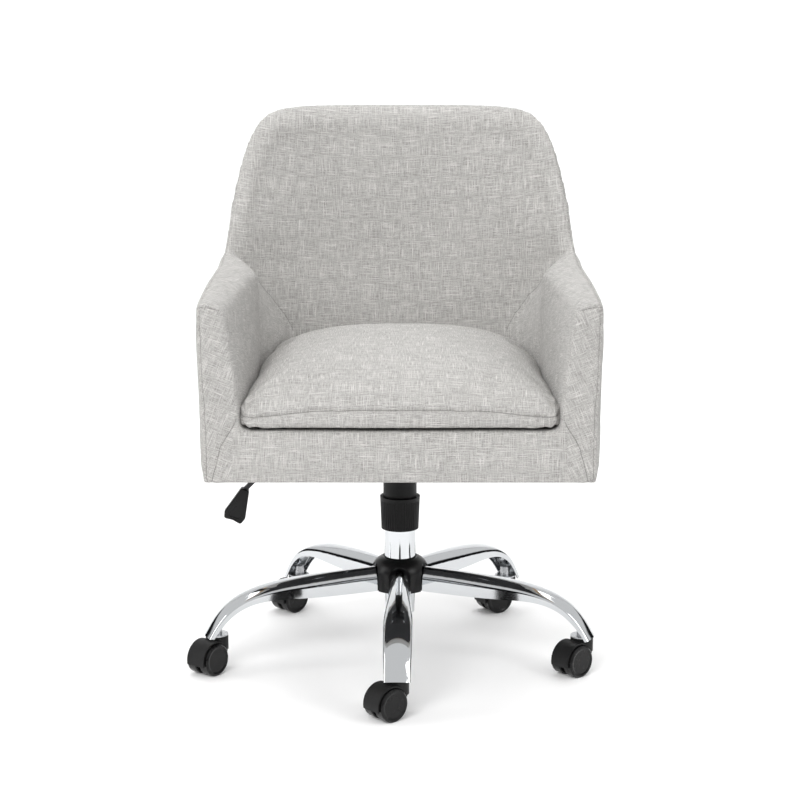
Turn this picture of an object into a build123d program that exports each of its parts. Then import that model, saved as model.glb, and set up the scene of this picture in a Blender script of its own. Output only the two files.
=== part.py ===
"""Swivel office chair: padded tub seat on a gas lift and a five-leg chromed base with twin-wheel casters.

Frame: origin on the floor under the lift column, +Z up, the seat facing -Y, millimetres.
Left and right are the sitter's, so the chair's right is -X.
"""
from build123d import *
import math
import os

os.makedirs("parts", exist_ok=True)

# Base: five pressed legs welded to a hub ring
leg_angles = {"front": 0, "left": 72, "rear_left": 144, "rear_right": 216, "right": 288}
base_turn = 0.8
stem_circle = 298.0
hub_outer = 30.0
hub_bottom = 108.0
hub_top = 150.0
leg_wall = 1.8
cover_radius = 45.0
cover_wall = 2.4
cover_top = 160.0

# Casters: two wheels side by side under a moulded hood
caster_headings = {"front": 40, "left": 43, "rear_left": 30, "rear_right": 44, "right": 52}
wheel_radius = 25.0
wheel_width = 18.0
web_half = 3.2
wheel_gap = 0.5
trail = 22.0
hood_gap = 1.2
hood_wall = 2.4
hood_half = 17.0
neck_radius = 17.6
neck_top = 57.0
stem_radius = 5.5
axle_radius = 3.0
running_gap = 0.05

# Gas lift: chromed column, pressure cylinder, rod and the two covers
column_radius = 24.75
column_foot_radius = 23.0
column_wall = 1.8
column_bottom = 70.0
column_top = 213.0
column_floor = 4.0
lift_travel = 75.0
cylinder_radius = 14.0
cylinder_bottom = 161.0
cylinder_top = 333.0
cylinder_wall = 2.5
rod_radius = 5.0
pin_radius = 2.5
pin_top = 338.0
collar_bottom = 206.0
collar_top = 258.0
tube_bottom = 252.0
tube_top = 312.0
tube_outer = 26.3
tube_inner = 25.15

# Seat plate and height lever
plate_top = 350.2
plate_thick = 2.8
bolt_x = 75.0
bolt_y = 60.0
bolt_radius = 3.95
pivot_x = -36.0
pivot_z = 336.0
lever_radius = 4.0
knob_top = (-243.7, 0.0, 268.5)
knob_foot = (-265.0, 0.0, 217.0)

# Seat: upholstered tub with a loose-looking cushion
seat_bottom = 350.0
seat_front = -296.0
arm_rear = 130.0
arm_front_top = 613.0
arm_rear_top = 640.0
arm_outer = 297.0
arm_foot_outer = 285.0
arm_inner_foot = 228.0
arm_inner_front_top = 254.0
rail_half = 226.0
cushion_half = 234.0
cushion_rear_half = 214.0
cushion_rear = 198.0
cushion_front = -302.0
cushion_shoulder = 124.0
back_rear = 322.0
floor_half = 220.0
floor_shoulder = 126.0
floor_rear = 194.0
rail_rear = -250.0
rail_top = 428.0
board_bottom = 351.5
board_thick = 15.0
cushion_bottom = 430.0
cushion_top = 514.0
chair_top = 852.0


def save(piece, node_name):
    """Label a finished piece and write it to its own file."""
    piece.part.label = node_name
    export_step(piece.part, f"parts/{node_name}.step")


def turned(points):
    """Turned piece: a half section, given as radius and height, revolved round the lift axis."""
    with BuildPart() as turned_piece:
        with BuildSketch(Plane.XZ):
            with BuildLine():
                Polyline(*points, close=True)
            make_face()
        revolve(axis=Axis.Z)
    return turned_piece


# Leg: one chromed channel, deep and ridged at the hub, wide and shallow where it bends down to its caster
leg_crest_height = 147.5
with BuildLine(Plane.XZ) as leg_crest:
    Spline(
        (24, leg_crest_height),
        (110, 143.5),
        (190, 136.5),
        (250, 122),
        (290, 96),
        (317, 57.5),
    )
# share of the crest's length, width at the foot, width at the crest, depth
leg_stations = [
    (0.00, 29, 9, 37),
    (0.14, 30, 10, 36.5),
    (0.28, 35, 15, 35),
    (0.42, 40, 22, 31),
    (0.56, 43, 30, 24),
    (0.70, 44, 34, 17),
    (0.85, 42, 33, 13),
    (1.00, 39, 31, 10),
]


def leg_section(share, foot_width, crest_width, depth, inset):
    """Cross-section of the leg, square to its crest and open at the foot when it is the inside one."""
    crest_point = leg_crest.line @ share
    crest_run = leg_crest.line % share
    foot = -depth if inset == 0 else -depth - 3
    half_foot = foot_width / 2 - inset
    half_crest = crest_width / 2 - inset * 0.7
    shoulder = -inset - crest_width * 0.10
    knee = -inset - depth * 0.5
    bulge_out = half_crest + (half_foot - half_crest) * 0.66
    bulge_down = shoulder + (knee - shoulder) * 0.38
    with BuildSketch(Plane(origin=crest_point, x_dir=(0, 1, 0), z_dir=crest_run)) as section:
        with BuildLine():
            Polyline((half_foot, knee), (half_foot, foot), (-half_foot, foot), (-half_foot, knee))
            ThreePointArc((-half_foot, knee), (-bulge_out, bulge_down), (-half_crest, shoulder))
            ThreePointArc((-half_crest, shoulder), (0, -inset), (half_crest, shoulder))
            ThreePointArc((half_crest, shoulder), (bulge_out, bulge_down), (half_foot, knee))
        make_face()
    return section.sketch


with BuildPart() as leg_pattern:
    for station in leg_stations:
        add(leg_section(*station, inset=0))
    loft()
    with BuildSketch(Plane.XY.offset(hub_bottom - 10)):
        Circle(hub_outer)
    extrude(amount=80, mode=Mode.SUBTRACT)

with BuildPart() as leg_hollow:
    for station in leg_stations:
        add(leg_section(*station, inset=leg_wall))
    loft()

with BuildPart() as leg_channel:
    add(leg_pattern.part)
    add(leg_hollow.part, mode=Mode.SUBTRACT)


def leg_turn(side):
    """Direction of one leg in degrees from +X."""
    return leg_angles[side] - 90 - base_turn


for side in leg_angles:
    with BuildPart() as leg:
        add(leg_channel.part, rotation=(0, 0, leg_turn(side)))
    save(leg, f"leg_{side}")

# Hub ring: the steel ring that the five legs are welded to, bored to the column's taper
hub_share = (hub_top - hub_bottom) / (hub_top - column_bottom)
hub_bore_foot = column_radius - (column_radius - column_foot_radius) * hub_share
hub_ring = turned([
    (hub_bore_foot, hub_bottom),
    (hub_outer, hub_bottom),
    (hub_outer, hub_top),
    (column_radius, hub_top),
])
save(hub_ring, "hub_ring")

# Hub cover: moulded cap over the ring, with an arch for each leg
cover_foot = 109.0
cover_shoulder = 136.0
cover_mouth = 28.0
cover_lip = 25.4
arch_half = 17.2
arch_spring = 129.0
arch_head = 151.5
with BuildPart() as hub_cover:
    with BuildSketch(Plane.XZ):
        with BuildLine():
            Line((cover_radius - 1, cover_foot), (cover_radius, cover_shoulder))
            ThreePointArc((cover_radius, cover_shoulder), (39.5, 152), (cover_mouth, cover_top))
            Line((cover_mouth, cover_top), (cover_lip, cover_top - 1.5))
            Line((cover_lip, cover_top - 1.5), (cover_lip, cover_top - 4))
            Line((cover_lip, cover_top - 4), (cover_mouth, cover_top - cover_wall))
            ThreePointArc(
                (cover_mouth, cover_top - cover_wall),
                (37.8, 150.3),
                (cover_radius - cover_wall, cover_shoulder),
            )
            Line((cover_radius - cover_wall, cover_shoulder), (cover_radius - 1 - cover_wall, cover_foot))
            Line((cover_radius - 1 - cover_wall, cover_foot), (cover_radius - 1, cover_foot))
        make_face()
    revolve(axis=Axis.Z)
    for side in leg_angles:
        outward = Vector(1, 0, 0).rotate(Axis.Z, leg_turn(side))
        across = Vector(0, 1, 0).rotate(Axis.Z, leg_turn(side))
        with BuildSketch(Plane(origin=outward * hub_outer, x_dir=across, z_dir=outward)):
            with BuildLine():
                Polyline(
                    (arch_half, arch_spring),
                    (arch_half, hub_bottom),
                    (-arch_half, hub_bottom),
                    (-arch_half, arch_spring),
                )
                ThreePointArc((-arch_half, arch_spring), (0, arch_head), (arch_half, arch_spring))
            make_face()
        extrude(amount=30, mode=Mode.SUBTRACT)
save(hub_cover, "hub_cover")


def stem_place(side):
    """Point on the floor under one caster's stem."""
    turn = math.radians(leg_turn(side))
    return (stem_circle * math.cos(turn), stem_circle * math.sin(turn), 0)


# Stem sockets: flanged steel bushes welded under the leg ends
flange_radius = 17.5
flange_thick = 2.2
bush_radius = 8.0
bush_height = 17.0
with BuildPart() as stem_sockets:
    for side in leg_angles:
        with Locations(stem_place(side)):
            with Locations((0, 0, neck_top + 0.5)):
                Cylinder(flange_radius, flange_thick, align=(Align.CENTER, Align.CENTER, Align.MIN))
                Cylinder(bush_radius, bush_height, align=(Align.CENTER, Align.CENTER, Align.MIN))
    for side in leg_angles:
        with Locations(stem_place(side)):
            Cylinder(stem_radius + running_gap, 2 * leg_crest_height, mode=Mode.SUBTRACT)
    for side in leg_angles:
        add(leg_channel.part, rotation=(0, 0, leg_turn(side)), mode=Mode.SUBTRACT)
save(stem_sockets, "stem_sockets")

# Caster patterns: stem on the local origin, wheels trailing along +X, axle along Y
stem_foot = neck_top - 15
stem_height = 31.0
with BuildPart() as stem_pattern:
    with BuildSketch(Plane.XY.offset(stem_foot)):
        Circle(stem_radius)
    extrude(amount=stem_height)
    chamfer(stem_pattern.edges().group_by(Axis.Z)[-1], length=1)
    with BuildSketch(Plane.XY.offset(neck_top)):
        Circle(stem_radius + 2)
    extrude(amount=0.3)

fender_radius = wheel_radius + hood_gap + hood_wall
neck_height = 22.0
axle_boss = 9.0
cut_half = hood_half + 30
with BuildPart() as hood_pattern:
    # neck round the stem
    with BuildSketch(Plane.XY.offset(neck_top - neck_height)):
        Circle(neck_radius)
    extrude(amount=neck_height)
    chamfer(hood_pattern.edges().group_by(Axis.Z)[-1], length=1.2)
    # fender over both wheels
    with BuildSketch(Plane.XZ.offset(-hood_half)):
        with Locations((trail, wheel_radius)):
            Circle(fender_radius)
    extrude(amount=2 * hood_half)
    with BuildSketch(Plane.XZ.offset(-cut_half)):
        with Locations((trail, wheel_radius)):
            Circle(wheel_radius + hood_gap)
    extrude(amount=2 * cut_half, mode=Mode.SUBTRACT)
    # the fender stops at the rear, above the floor, and the front stays open under the neck
    with BuildSketch(Plane.XZ.offset(-cut_half)):
        with BuildLine():
            Polyline(
                (-40, -10),
                (80, -10),
                (80, 12),
                (trail, wheel_radius),
                (-4, 33),
                (-40, 33),
                close=True,
            )
        make_face()
    extrude(amount=2 * cut_half, mode=Mode.SUBTRACT)
    # web between the wheels, carrying stem and axle
    with BuildSketch(Plane.XZ.offset(-web_half)):
        with Locations((trail, wheel_radius)):
            Circle(axle_boss)
        with BuildLine():
            Polyline(
                (-8, neck_top - 4),
                (-12, 34),
                (trail - 4, wheel_radius - axle_boss + 0.4),
                (trail + 5, wheel_radius - axle_boss + 1),
                (46, 36),
                (trail, 52),
                close=True,
            )
        make_face()
    extrude(amount=2 * web_half)
    with BuildSketch(Plane.XZ.offset(-cut_half)):
        with Locations((trail, wheel_radius)):
            Circle(axle_radius)
    extrude(amount=2 * cut_half, mode=Mode.SUBTRACT)
    with BuildSketch(Plane.XY.offset(stem_foot)):
        Circle(stem_radius)
    extrude(amount=stem_height, mode=Mode.SUBTRACT)

axle_half = web_half + wheel_gap + wheel_width - 3
with BuildPart() as axle_pattern:
    with BuildSketch(Plane.XZ.offset(-axle_half)):
        with Locations((trail, wheel_radius)):
            Circle(axle_radius)
    extrude(amount=2 * axle_half)

# Wheel: moulded disc with a rounded tread, a closed outer face and a hollow inner face
inner_face = web_half + wheel_gap
outer_face = inner_face + wheel_width
disk_thick = 2.5
disk_recess = 0.8
hub_depth = 8.0
hub_wall_radius = 8.0
with BuildPart() as wheel_pattern:
    with BuildSketch(Plane.YZ):
        with BuildLine():
            Polyline(
                (inner_face, hub_wall_radius),
                (inner_face, axle_radius + running_gap),
                (outer_face - disk_thick, axle_radius + running_gap),
                (outer_face - disk_thick, 0),
                (outer_face - disk_recess, 0),
                (outer_face - disk_recess, 18.5),
                (outer_face, 21),
                (outer_face, wheel_radius - 2),
                (outer_face - 2, wheel_radius),
                (inner_face + 1.5, wheel_radius),
                (inner_face, wheel_radius - 1.5),
                (inner_face, 21.5),
                (inner_face + hub_depth, 20.5),
                (inner_face + hub_depth, hub_wall_radius),
                close=True,
            )
        make_face()
    revolve(axis=Axis.Y)

for side, heading in caster_headings.items():
    stem_spot = Location(stem_place(side), (0, 0, 180 + heading))
    for piece_name, pattern in (
        ("caster_stem", stem_pattern),
        ("caster_hood", hood_pattern),
        ("caster_axle", axle_pattern),
    ):
        with BuildPart() as caster_piece:
            with Locations(stem_spot):
                add(pattern.part)
        save(caster_piece, f"{piece_name}_{side}")
    for wheel_name, wheel_turn in (("wheel_outer", 0), ("wheel_inner", 180)):
        with BuildPart() as wheel:
            with Locations(stem_spot):
                with Locations(Location((trail, 0, wheel_radius), (0, 0, wheel_turn))):
                    add(wheel_pattern.part)
        save(wheel, f"{wheel_name}_{side}")

# Column: chromed outer tube, tapered into the hub, with a floor that carries the rod
column_tube = turned([
    (rod_radius + 0.2, column_bottom),
    (column_foot_radius, column_bottom),
    (column_radius, hub_top),
    (column_radius, column_top),
    (column_radius - column_wall, column_top),
    (column_radius - column_wall, hub_top),
    (column_foot_radius - column_wall, column_bottom + column_floor),
    (rod_radius + 0.2, column_bottom + column_floor),
])
save(column_tube, "column_tube")

guide_bush = turned([
    (cylinder_radius + running_gap, hub_top + 2),
    (column_radius - column_wall, hub_top + 2),
    (column_radius - column_wall, column_top + 1.5),
    (cylinder_radius + running_gap, column_top + 1.5),
])
save(guide_bush, "guide_bush")

# Rod, bearing and clip: they stand on the column's floor and turn with the seat
bearing_top = column_bottom + column_floor + 10
piston_rod = turned([
    (0, column_bottom - 5),
    (rod_radius, column_bottom - 5),
    (rod_radius, column_bottom - 2.5),
    (rod_radius - 0.8, column_bottom - 2.5),
    (rod_radius - 0.8, column_bottom - 0.8),
    (rod_radius, column_bottom - 0.8),
    (rod_radius, bearing_top),
    (rod_radius + 3, bearing_top),
    (rod_radius + 3, bearing_top + 1.4),
    (rod_radius, bearing_top + 1.4),
    (rod_radius, cylinder_bottom + 17),
    (cylinder_radius - cylinder_wall - 0.08, cylinder_bottom + 17),
    (cylinder_radius - cylinder_wall - 0.08, cylinder_bottom + 29),
    (0, cylinder_bottom + 29),
])
save(piston_rod, "piston_rod")

retaining_clip = turned([
    (rod_radius - 0.8, column_bottom - 2.4),
    (rod_radius + 4, column_bottom - 2.4),
    (rod_radius + 4, column_bottom - 0.9),
    (rod_radius - 0.8, column_bottom - 0.9),
])
save(retaining_clip, "retaining_clip")

thrust_bearing = turned([
    (rod_radius + 0.1, column_bottom + column_floor + 0.3),
    (16, column_bottom + column_floor + 0.3),
    (16, bearing_top - 7),
    (14, bearing_top - 6),
    (14, bearing_top - 3),
    (16, bearing_top - 2),
    (16, bearing_top),
    (rod_radius + 0.1, bearing_top),
])
save(thrust_bearing, "thrust_bearing")

# Pressure cylinder: rides up and down the rod, its coned head pressed into the seat's socket
socket_bottom = 296.0
cone_top_radius = 13.2
pressure_cylinder = turned([
    (rod_radius + running_gap, cylinder_bottom),
    (cylinder_radius, cylinder_bottom),
    (cylinder_radius, socket_bottom),
    (cone_top_radius, cylinder_top),
    (pin_radius + running_gap, cylinder_top),
    (pin_radius + running_gap, cylinder_top - 15),
    (cylinder_radius - cylinder_wall, cylinder_top - 15),
    (cylinder_radius - cylinder_wall, cylinder_bottom + 15),
    (rod_radius + running_gap, cylinder_bottom + 15),
])
save(pressure_cylinder, "pressure_cylinder")

with BuildPart() as valve_pin:
    with BuildSketch(Plane.XY.offset(cylinder_top - 13)):
        Circle(pin_radius)
    extrude(amount=pin_top - cylinder_top + 13)
    chamfer(valve_pin.edges().group_by(Axis.Z)[-1], length=0.5)
save(valve_pin, "valve_pin")

# Telescoping cover: a smooth tube hanging from the socket and a ribbed collar hanging from the tube
cover_tube = turned([
    (tube_inner, tube_bottom),
    (tube_outer + 0.4, tube_bottom),
    (tube_outer + 0.4, tube_bottom + 1.5),
    (tube_outer, tube_bottom + 1.5),
    (tube_outer, tube_top),
    (tube_inner, tube_top),
])
save(cover_tube, "cover_tube")

collar_foot_radius = 29.3
collar_head_radius = 31.2
rib_count = 48
plain_collar = turned([
    (tube_outer + 0.7, collar_bottom),
    (collar_foot_radius, collar_bottom),
    (collar_head_radius, collar_top - 5),
    (collar_head_radius + 0.3, collar_top),
    (tube_outer + 0.3, collar_top),
    (tube_outer + 0.3, collar_top - 4),
    (tube_outer + 0.7, collar_top - 4),
])
groove_depth = 0.9
groove_width = 1.5
groove_length = collar_top - collar_bottom - 6
collar_slope = math.degrees(math.atan2(collar_head_radius - collar_foot_radius, groove_length))
groove_radius = (collar_foot_radius + collar_head_radius) / 2
groove_middle = collar_bottom + groove_length / 2
with BuildPart() as cover_collar:
    add(plain_collar.part)
    for rib in range(rib_count):
        rib_turn = Location((0, 0, 0), (0, 0, 360 * rib / rib_count))
        groove_place = rib_turn * Location((groove_radius, 0, groove_middle), (0, collar_slope, 0))
        with Locations(groove_place):
            Box(2 * groove_depth, groove_width, groove_length, mode=Mode.SUBTRACT)
save(cover_collar, "cover_collar")

# Seat plate: pressed steel with two flanges that hold the lever's pivot pin
plate_bottom = plate_top - plate_thick
plate_length = 200.0
plate_width = 160.0
flange_length = 150.0
flange_depth = 26.0
flange_spacing = 56.0
with BuildPart() as seat_plate:
    with BuildSketch(Plane.XY.offset(plate_bottom)):
        RectangleRounded(plate_length, plate_width, 14)
        with GridLocations(2 * bolt_x, 2 * bolt_y, 2, 2):
            Circle(bolt_radius + 0.4, mode=Mode.SUBTRACT)
    extrude(amount=plate_thick)
    with BuildSketch(Plane.XY.offset(plate_bottom)):
        with GridLocations(0, flange_spacing, 1, 2):
            Rectangle(flange_length, plate_thick)
    extrude(amount=-flange_depth)
    with BuildSketch(Plane.XZ.offset(-flange_spacing)):
        with Locations((pivot_x, pivot_z)):
            Circle(pin_radius)
    extrude(amount=2 * flange_spacing, mode=Mode.SUBTRACT)
save(seat_plate, "seat_plate")

socket_radius = 25.0
spindle_socket = turned([
    (cylinder_radius, socket_bottom),
    (socket_radius, socket_bottom),
    (socket_radius, cylinder_top),
    (cone_top_radius, cylinder_top),
])
save(spindle_socket, "spindle_socket")

with BuildPart() as lever_pin:
    with BuildSketch(Plane.XZ.offset(-flange_spacing / 2 - 4)):
        with Locations((pivot_x, pivot_z)):
            Circle(pin_radius)
    extrude(amount=flange_spacing + 8)
save(lever_pin, "lever_pin")

# Lever: bent rod whose inner end lies on the valve pin, with an eye on the pivot pin
knob_run = (Vector(*knob_foot) - Vector(*knob_top)).normalized()
lever_offset = 4.3
with BuildPart() as lever_rod:
    with BuildLine() as lever_path:
        FilletPolyline(
            (3, 0, pin_top + lever_offset),
            (-14, 0, pin_top + lever_offset),
            (pivot_x, 0, pivot_z),
            (-212, 0, 301),
            knob_top,
            Vector(*knob_top) + knob_run * 26,
            radius=9,
        )
    with BuildSketch(Plane(origin=lever_path.line @ 0, z_dir=lever_path.line % 0)):
        Circle(lever_radius)
    sweep()
    with BuildSketch(Plane.XZ.offset(-10)):
        with Locations((pivot_x, pivot_z)):
            Circle(6)
    extrude(amount=20)
    with BuildSketch(Plane.XZ.offset(-12)):
        with Locations((pivot_x, pivot_z)):
            Circle(pin_radius + running_gap)
    extrude(amount=24, mode=Mode.SUBTRACT)
save(lever_rod, "lever_rod")

# Lever knob: flat moulded paddle, wider at its free end, with a shallow hollow in each face
knob_half = 7.5
hollow_depth = 1.6
knob_socket = 26.0
knob_plane = Plane(origin=knob_top, x_dir=knob_run, z_dir=(0, -1, 0))
with BuildPart() as lever_knob:
    with BuildSketch(knob_plane.offset(-knob_half)):
        with BuildLine():
            Polyline((-1, -6.5), (-1, 6.5), (44, 17.5), (55, 14), (53, 0), (55, -14), (44, -17.5), close=True)
        make_face()
        fillet(vertices(), radius=4)
    extrude(amount=2 * knob_half)
    fillet(lever_knob.edges().group_by(Axis.Y)[0] + lever_knob.edges().group_by(Axis.Y)[-1], radius=2)
    for face_offset, inward in ((knob_half, -1), (-knob_half, 1)):
        with BuildSketch(knob_plane.offset(face_offset)):
            with BuildLine():
                Polyline((16, -5.5), (16, 5.5), (44, 12), (49, 6), (49, -6), (44, -12), close=True)
            make_face()
            fillet(vertices(), radius=3)
        extrude(amount=inward * hollow_depth, mode=Mode.SUBTRACT)
    with BuildSketch(Plane(origin=Vector(*knob_top) - knob_run * 3, z_dir=knob_run)):
        Circle(lever_radius)
    extrude(amount=knob_socket + 3, mode=Mode.SUBTRACT)
save(lever_knob, "lever_knob")

# Fasteners: four bolts up through the plate into tee nuts in the seat board
board_top = board_bottom + board_thick
washer_thick = 1.6
nut_radius = 5.2
with BuildPart() as seat_bolts:
    with BuildSketch(Plane.XY.offset(plate_bottom)):
        with GridLocations(2 * bolt_x, 2 * bolt_y, 2, 2):
            Circle(bolt_radius)
    extrude(amount=board_top - plate_bottom + 1)
    with BuildSketch(Plane.XY.offset(plate_bottom)):
        with GridLocations(2 * bolt_x, 2 * bolt_y, 2, 2):
            Circle(10)
    extrude(amount=-washer_thick)
    with BuildSketch(Plane.XY.offset(plate_bottom - washer_thick)):
        with GridLocations(2 * bolt_x, 2 * bolt_y, 2, 2):
            RegularPolygon(7.5, 6)
    extrude(amount=-5.3)
save(seat_bolts, "seat_bolts")

with BuildPart() as tee_nuts:
    with BuildSketch(Plane.XY.offset(board_bottom + 4)):
        with GridLocations(2 * bolt_x, 2 * bolt_y, 2, 2):
            Circle(nut_radius)
            Circle(bolt_radius, mode=Mode.SUBTRACT)
    extrude(amount=board_thick - 4)
    with BuildSketch(Plane.XY.offset(board_top)):
        with GridLocations(2 * bolt_x, 2 * bolt_y, 2, 2):
            Circle(11)
            Circle(bolt_radius, mode=Mode.SUBTRACT)
    extrude(amount=1.5)
save(tee_nuts, "tee_nuts")


def seat_plan(half_width, front, shoulder, rear):
    """Plan of a seat layer: straight front and sides, bowed rear."""
    with BuildSketch() as plan:
        with BuildLine():
            Polyline(
                (-half_width, shoulder),
                (-half_width, front),
                (half_width, front),
                (half_width, shoulder),
            )
            ThreePointArc((half_width, shoulder), (0, rear), (-half_width, shoulder))
        make_face()
    return plan.sketch


# Seat board, dust cover and sprung deck, all inside the padded walls
with BuildPart() as seat_board:
    with BuildSketch(Plane.XY.offset(board_bottom)):
        add(seat_plan(floor_half, rail_rear + 1, floor_shoulder, floor_rear - 2))
        with GridLocations(2 * bolt_x, 2 * bolt_y, 2, 2):
            Circle(nut_radius, mode=Mode.SUBTRACT)
    extrude(amount=board_thick)
save(seat_board, "seat_board")

with BuildPart() as dust_cover:
    with BuildSketch(Plane.XY.offset(plate_top + 0.1)):
        add(seat_plan(floor_half + 1, rail_rear + 1, floor_shoulder, floor_rear))
        with GridLocations(2 * bolt_x, 2 * bolt_y, 2, 2):
            Circle(nut_radius, mode=Mode.SUBTRACT)
    extrude(amount=1.1)
save(dust_cover, "dust_cover")

with BuildPart() as seat_deck:
    with BuildSketch(Plane.XY.offset(board_top + 2)):
        add(seat_plan(floor_half, rail_rear + 1, floor_shoulder, floor_rear))
    extrude(amount=rail_top - board_top - 2)
save(seat_deck, "seat_deck")

# Front rail: padded face under the cushion, between the arms
with BuildPart() as front_rail:
    with BuildSketch(Plane.XY.offset(seat_bottom)):
        with Locations((0, (seat_front + rail_rear) / 2)):
            Rectangle(2 * rail_half, rail_rear - seat_front)
    extrude(amount=rail_top - seat_bottom)
    fillet(front_rail.edges().filter_by(Axis.X).group_by(Axis.Y)[0], radius=9)
save(front_rail, "front_rail")

# Arm frame: plywood side panel, standing in a pocket of its padding
frame_gap = 0.1
frame_outer = 279.0
frame_inner = 264.0


def arm_frame_outline(grow):
    """Side outline of the arm's plywood panel."""
    with BuildSketch() as outline:
        with BuildLine():
            Polyline(
                (-278 - grow, seat_bottom - grow),
                (118 + grow, seat_bottom - grow),
                (118 + grow, arm_rear_top - 40 + grow),
                (-278 - grow, arm_front_top - 38 + grow),
                close=True,
            )
        make_face()
    return outline.sketch


with BuildPart() as arm_frame_right:
    with BuildSketch(Plane.YZ.offset(-frame_outer)):
        add(arm_frame_outline(0))
    extrude(amount=frame_outer - frame_inner)
save(arm_frame_right, "arm_frame_right")

with BuildPart() as arm_frame_left:
    mirror(arm_frame_right.part, about=Plane.YZ)
save(arm_frame_left, "arm_frame_left")


def arm_section(y, bottom_outer, bottom_inner, top_inner, top_outer, top):
    """Cross-section of the padded right arm at one distance from front to rear."""
    with BuildSketch(Plane.XZ.offset(-y)) as section:
        with BuildLine():
            Polyline(
                (-bottom_outer, seat_bottom),
                (-bottom_inner, seat_bottom),
                (-top_inner, top - 8),
                (-top_outer, top),
                close=True,
            )
        make_face()
    return section.sketch


# distance from front to rear, outer foot, inner foot, inner top, outer top, height of the top
arm_stations = [
    (seat_front, arm_foot_outer, arm_inner_foot, arm_inner_front_top, arm_outer, arm_front_top),
    (-90, arm_foot_outer + 3, arm_inner_foot, arm_inner_front_top - 7, arm_outer - 1, arm_front_top + 15),
    (arm_rear, arm_foot_outer + 2, arm_inner_foot - 4, arm_inner_foot + 2, arm_outer - 7, arm_rear_top),
]
with BuildPart() as arm_right:
    for arm_station in arm_stations:
        add(arm_section(*arm_station))
    loft()
    with BuildSketch(Plane.YZ.offset(-frame_outer - frame_gap)):
        add(arm_frame_outline(frame_gap))
    extrude(amount=frame_outer - frame_inner + 2 * frame_gap, mode=Mode.SUBTRACT)
save(arm_right, "arm_right")

with BuildPart() as arm_left:
    mirror(arm_right.part, about=Plane.YZ)
save(arm_left, "arm_left")

# Back frame: reclined plywood panel, standing in a pocket of the back's padding
recline = 8.0
back_frame_height = 400.0
back_plane = Plane(origin=(0, 222, seat_bottom), x_dir=(1, 0, 0), z_dir=(0, 1, 0)).rotated((-recline, 0, 0))
with BuildPart() as back_frame:
    with BuildSketch(back_plane.offset(-15)):
        with BuildLine():
            Polyline((-150, 0), (150, 0), (125, -back_frame_height), (-125, -back_frame_height), close=True)
        make_face()
    extrude(amount=15)
save(back_frame, "back_frame")


def back_section(z, half_width, tip_y, rear_y, thick, tip_thick):
    """Plan of the padded back at one height: a crescent, open to the front."""
    with BuildSketch(Plane.XY.offset(z)) as section:
        with BuildLine():
            ThreePointArc((-half_width, tip_y), (0, rear_y), (half_width, tip_y))
            Line((half_width, tip_y), (half_width - tip_thick, tip_y))
            ThreePointArc(
                (half_width - tip_thick, tip_y),
                (0, rear_y - thick),
                (tip_thick - half_width, tip_y),
            )
            Line((tip_thick - half_width, tip_y), (-half_width, tip_y))
        make_face()
    return section.sketch


with BuildPart() as back:
    add(back_section(seat_bottom, 287, arm_rear + 0.5, 264, 64, 62))
    add(back_section(500, 290, arm_rear + 0.5, 284, 66, 62))
    add(back_section(arm_rear_top, 289, arm_rear + 0.5, 302, 66, 56))
    add(back_section(760, 262, 172, 317, 60, 46))
    add(back_section(825, 242, 208, back_rear + 2, 54, 40))
    add(back_section(chair_top, 205, 240, back_rear, 44, 34))
    loft()
    with BuildSketch(Plane.XZ.offset(-arm_rear - 0.4)):
        Rectangle(800, 2000)
    extrude(amount=100, mode=Mode.SUBTRACT)
    add(back_frame.part, mode=Mode.SUBTRACT)
save(back, "back")

# Seat cushion: thick boxed cushion, bowed at the rear
with BuildPart() as seat_cushion:
    with BuildSketch(Plane.XY.offset(cushion_bottom)) as cushion_plan:
        with BuildLine():
            Polyline(
                (-cushion_rear_half, cushion_shoulder),
                (-cushion_half, cushion_front),
                (cushion_half, cushion_front),
                (cushion_rear_half, cushion_shoulder),
            )
            ThreePointArc(
                (cushion_rear_half, cushion_shoulder),
                (0, cushion_rear),
                (-cushion_rear_half, cushion_shoulder),
            )
        make_face()
        fillet(cushion_plan.vertices(), radius=26)
    extrude(amount=cushion_top - cushion_bottom)
    fillet(seat_cushion.edges().group_by(Axis.Z)[0], radius=10)
    with BuildSketch(Plane.YZ.offset(-250)):
        with BuildLine():
            Spline(
                (-320, 462),
                (-285, 484),
                (-200, 500),
                (-60, cushion_top),
                (80, cushion_top - 2),
                (210, 496),
            )
            Polyline((210, 496), (210, 560), (-320, 560), (-320, 462))
        make_face()
    extrude(amount=500, mode=Mode.SUBTRACT)
save(seat_cushion, "seat_cushion")
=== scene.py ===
import math

import bpy
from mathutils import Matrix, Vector, kdtree


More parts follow.
